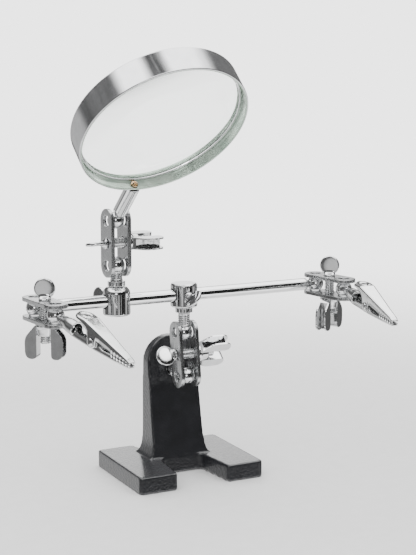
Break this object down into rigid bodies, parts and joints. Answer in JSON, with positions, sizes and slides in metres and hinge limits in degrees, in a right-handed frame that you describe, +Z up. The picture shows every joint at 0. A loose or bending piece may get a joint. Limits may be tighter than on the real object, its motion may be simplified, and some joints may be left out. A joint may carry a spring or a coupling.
{
  "type": "helping hands clamp",
  "caption": "Bench holder with crocodile clips and a round magnifier on a sliding rod, carried by ball-jointed two-plate clamps on a heavy black foot.",
  "frame": {"origin": "middle of the foot's outline, on its flat underside", "axes": "+Z up; X along the rod, +X to the right seen from the front; -Y is the front, where the clips reach"},
  "size_m": [0.1673, 0.1095, 0.2058],
  "materials": {
    "black_cast_iron": "gloss black paint over pebbly cast iron",
    "chrome": "bright chrome plate",
    "nickel_plate": "satin nickel plated steel",
    "polished_steel": "polished steel band",
    "clip_nickel": "bright nickel plated sheet steel",
    "spring_steel": "drawn spring wire",
    "brass": "turned brass",
    "lens_glass": "clear polished glass"
  },
  "bodies": {
    "foot": {"base_casting": "black_cast_iron"},
    "foot_stud": {"base_ball_stud": "chrome"},
    "lower_clamp": {"lower_clamp_left_plate": "nickel_plate", "lower_clamp_right_plate": "nickel_plate", "lower_clamp_bolt": "chrome"},
    "lower_nut": {"lower_wing_nut": "chrome"},
    "centre_stud": {"centre_coupler_ball_stud": "chrome"},
    "centre_block": {"centre_coupler": "chrome"},
    "centre_screw": {"centre_thumb_screw": "chrome"},
    "rod": {"main_rod": "chrome"},
    "left_ball": {"left_rod_ball": "chrome"},
    "left_clamp": {"left_clamp_top_plate": "nickel_plate", "left_clamp_bottom_plate": "nickel_plate", "left_clamp_bolt": "chrome"},
    "left_nut": {"left_wing_nut": "chrome"},
    "left_clip_stud": {"left_clip_ball_stud": "chrome"},
    "left_clip": {"left_clip_lower_jaw": "clip_nickel", "left_clip_pivot_rivet": "clip_nickel", "left_clip_spring": "spring_steel"},
    "left_lever": {"left_clip_upper_jaw": "clip_nickel"},
    "right_ball": {"right_rod_ball": "chrome"},
    "right_clamp": {"right_clamp_top_plate": "nickel_plate", "right_clamp_bottom_plate": "nickel_plate", "right_clamp_bolt": "chrome"},
    "right_nut": {"right_wing_nut": "chrome"},
    "right_clip_stud": {"right_clip_ball_stud": "chrome"},
    "right_clip": {"right_clip_lower_jaw": "clip_nickel", "right_clip_pivot_rivet": "clip_nickel", "right_clip_spring": "spring_steel"},
    "right_lever": {"right_clip_upper_jaw": "clip_nickel"},
    "magnifier_block": {"magnifier_coupler": "chrome"},
    "magnifier_screw": {"magnifier_thumb_screw": "chrome"},
    "magnifier_post": {"magnifier_ball_stud": "chrome"},
    "upper_clamp": {"upper_clamp_left_plate": "nickel_plate", "upper_clamp_right_plate": "nickel_plate", "upper_clamp_bolt": "chrome"},
    "upper_nut": {"upper_wing_nut": "chrome"},
    "magnifier_ball": {"magnifier_ball": "chrome"},
    "magnifier_head": {"magnifier_stem": "chrome", "magnifier_rim": "polished_steel", "magnifier_lens": "lens_glass", "lens_retaining_ring": "chrome", "rim_screw": "brass"}
  },
  "joints": [
    {"name": "foot_stud_twist", "type": "hinge", "parent": "foot", "child": "foot_stud", "pos_m": [0, -0.00855, 0.0502], "axis": [0, 1, 0], "range_deg": [-40, 40]},
    {"name": "lower_clamp_swing", "type": "hinge", "parent": "foot_stud", "child": "lower_clamp", "pos_m": [0, -0.00855, 0.0502], "axis": [1, 0, 0], "range_deg": [-20, 60]},
    {"name": "lower_nut_spin", "type": "hinge", "parent": "lower_clamp", "child": "lower_nut", "pos_m": [0.0055, -0.00722, 0.06062], "axis": [1, 0, 0], "continuous": true},
    {"name": "rod_pitch", "type": "hinge", "parent": "lower_clamp", "child": "centre_stud", "pos_m": [0, -0.0059, 0.07103], "axis": [-1, 0, 0], "range_deg": [-20, 60]},
    {"name": "rod_turn", "type": "hinge", "parent": "centre_stud", "child": "centre_block", "pos_m": [0, -0.0059, 0.0893], "axis": [0, 0, 1], "continuous": true},
    {"name": "centre_screw_spin", "type": "hinge", "parent": "centre_block", "child": "centre_screw", "pos_m": [0, -0.0059, 0.0893], "axis": [0.0872, 0.9962, 0], "continuous": true},
    {"name": "rod_slide", "type": "slide", "parent": "centre_block", "child": "rod", "axis": [-1, 0, 0], "range_m": [-0.018, 0.04]},
    {"name": "left_clamp_roll", "type": "hinge", "parent": "rod", "child": "left_ball", "pos_m": [-0.0752, -0.0059, 0.0893], "axis": [1, 0, 0], "range_deg": [-60, 180]},
    {"name": "left_clamp_swing", "type": "hinge", "parent": "left_ball", "child": "left_clamp", "pos_m": [-0.0752, -0.0059, 0.0893], "axis": [0, 0, 1], "range_deg": [-100, 40]},
    {"name": "left_nut_spin", "type": "hinge", "parent": "left_clamp", "child": "left_nut", "pos_m": [-0.0741, -0.01634, 0.0838], "axis": [0, 0, -1], "continuous": true},
    {"name": "left_clip_swing", "type": "hinge", "parent": "left_clamp", "child": "left_clip_stud", "pos_m": [-0.073, -0.02678, 0.0893], "axis": [0, 0, -1], "range_deg": [-90, 90]},
    {"name": "left_clip_twist", "type": "hinge", "parent": "left_clip_stud", "child": "left_clip", "pos_m": [-0.073, -0.02678, 0.0893], "axis": [0.2275, -0.9474, -0.225], "continuous": true},
    {"name": "left_clip_open", "type": "hinge", "parent": "left_clip", "child": "left_lever", "pos_m": [-0.06569, -0.05723, 0.08269], "axis": [-0.9724, -0.2334, 0], "range_deg": [0, 14], "stiffness_Nm_per_rad": 0.08, "springref_deg": -14.32, "deforming": ["left_clip_spring"]},
    {"name": "right_clamp_roll", "type": "hinge", "parent": "rod", "child": "right_ball", "pos_m": [0.0734, -0.0059, 0.0893], "axis": [-1, 0, 0], "range_deg": [-180, 60]},
    {"name": "right_clamp_swing", "type": "hinge", "parent": "right_ball", "child": "right_clamp", "pos_m": [0.0734, -0.0059, 0.0893], "axis": [0, 0, 1], "range_deg": [-40, 100]},
    {"name": "right_nut_spin", "type": "hinge", "parent": "right_clamp", "child": "right_nut", "pos_m": [0.07522, -0.01624, 0.0838], "axis": [0, 0, -1], "continuous": true},
    {"name": "right_clip_swing", "type": "hinge", "parent": "right_clamp", "child": "right_clip_stud", "pos_m": [0.07705, -0.02658, 0.0893], "axis": [0, 0, -1], "range_deg": [-90, 90]},
    {"name": "right_clip_twist", "type": "hinge", "parent": "right_clip_stud", "child": "right_clip", "pos_m": [0.07705, -0.02658, 0.0893], "axis": [-0.1469, -0.9832, -0.108], "continuous": true},
    {"name": "right_clip_open", "type": "hinge", "parent": "right_clip", "child": "right_lever", "pos_m": [0.07233, -0.05811, 0.08644], "axis": [-0.989, 0.1478, 0], "range_deg": [0, 14], "stiffness_Nm_per_rad": 0.08, "springref_deg": -14.32, "deforming": ["right_clip_spring"]},
    {"name": "magnifier_slide", "type": "slide", "parent": "rod", "child": "magnifier_block", "axis": [1, 0, 0], "range_m": [-0.018, 0.014]},
    {"name": "magnifier_screw_spin", "type": "hinge", "parent": "magnifier_block", "child": "magnifier_screw", "pos_m": [-0.0349, -0.0059, 0.0893], "axis": [0.2588, -0.9659, 0], "continuous": true},
    {"name": "magnifier_turn", "type": "hinge", "parent": "magnifier_block", "child": "magnifier_post", "pos_m": [-0.0349, -0.0059, 0.1061], "axis": [0, 0, 1], "range_deg": [-90, 90]},
    {"name": "upper_clamp_swing", "type": "hinge", "parent": "magnifier_post", "child": "upper_clamp", "pos_m": [-0.0349, -0.0059, 0.1061], "axis": [-0.9962, -0.0872, 0], "range_deg": [-60, 60]},
    {"name": "upper_nut_spin", "type": "hinge", "parent": "upper_clamp", "child": "upper_nut", "pos_m": [-0.02942, -0.00542, 0.1166], "axis": [0.9962, 0.0872, 0], "continuous": true},
    {"name": "magnifier_tilt", "type": "hinge", "parent": "upper_clamp", "child": "magnifier_ball", "pos_m": [-0.0349, -0.0059, 0.1271], "axis": [0.9962, 0.0872, 0], "range_deg": [-90, 40]},
    {"name": "magnifier_roll", "type": "hinge", "parent": "magnifier_ball", "child": "magnifier_head", "pos_m": [-0.0349, -0.0059, 0.1271], "axis": [0.0617, -0.7056, 0.7059], "range_deg": [-90, 90]}
  ]
}
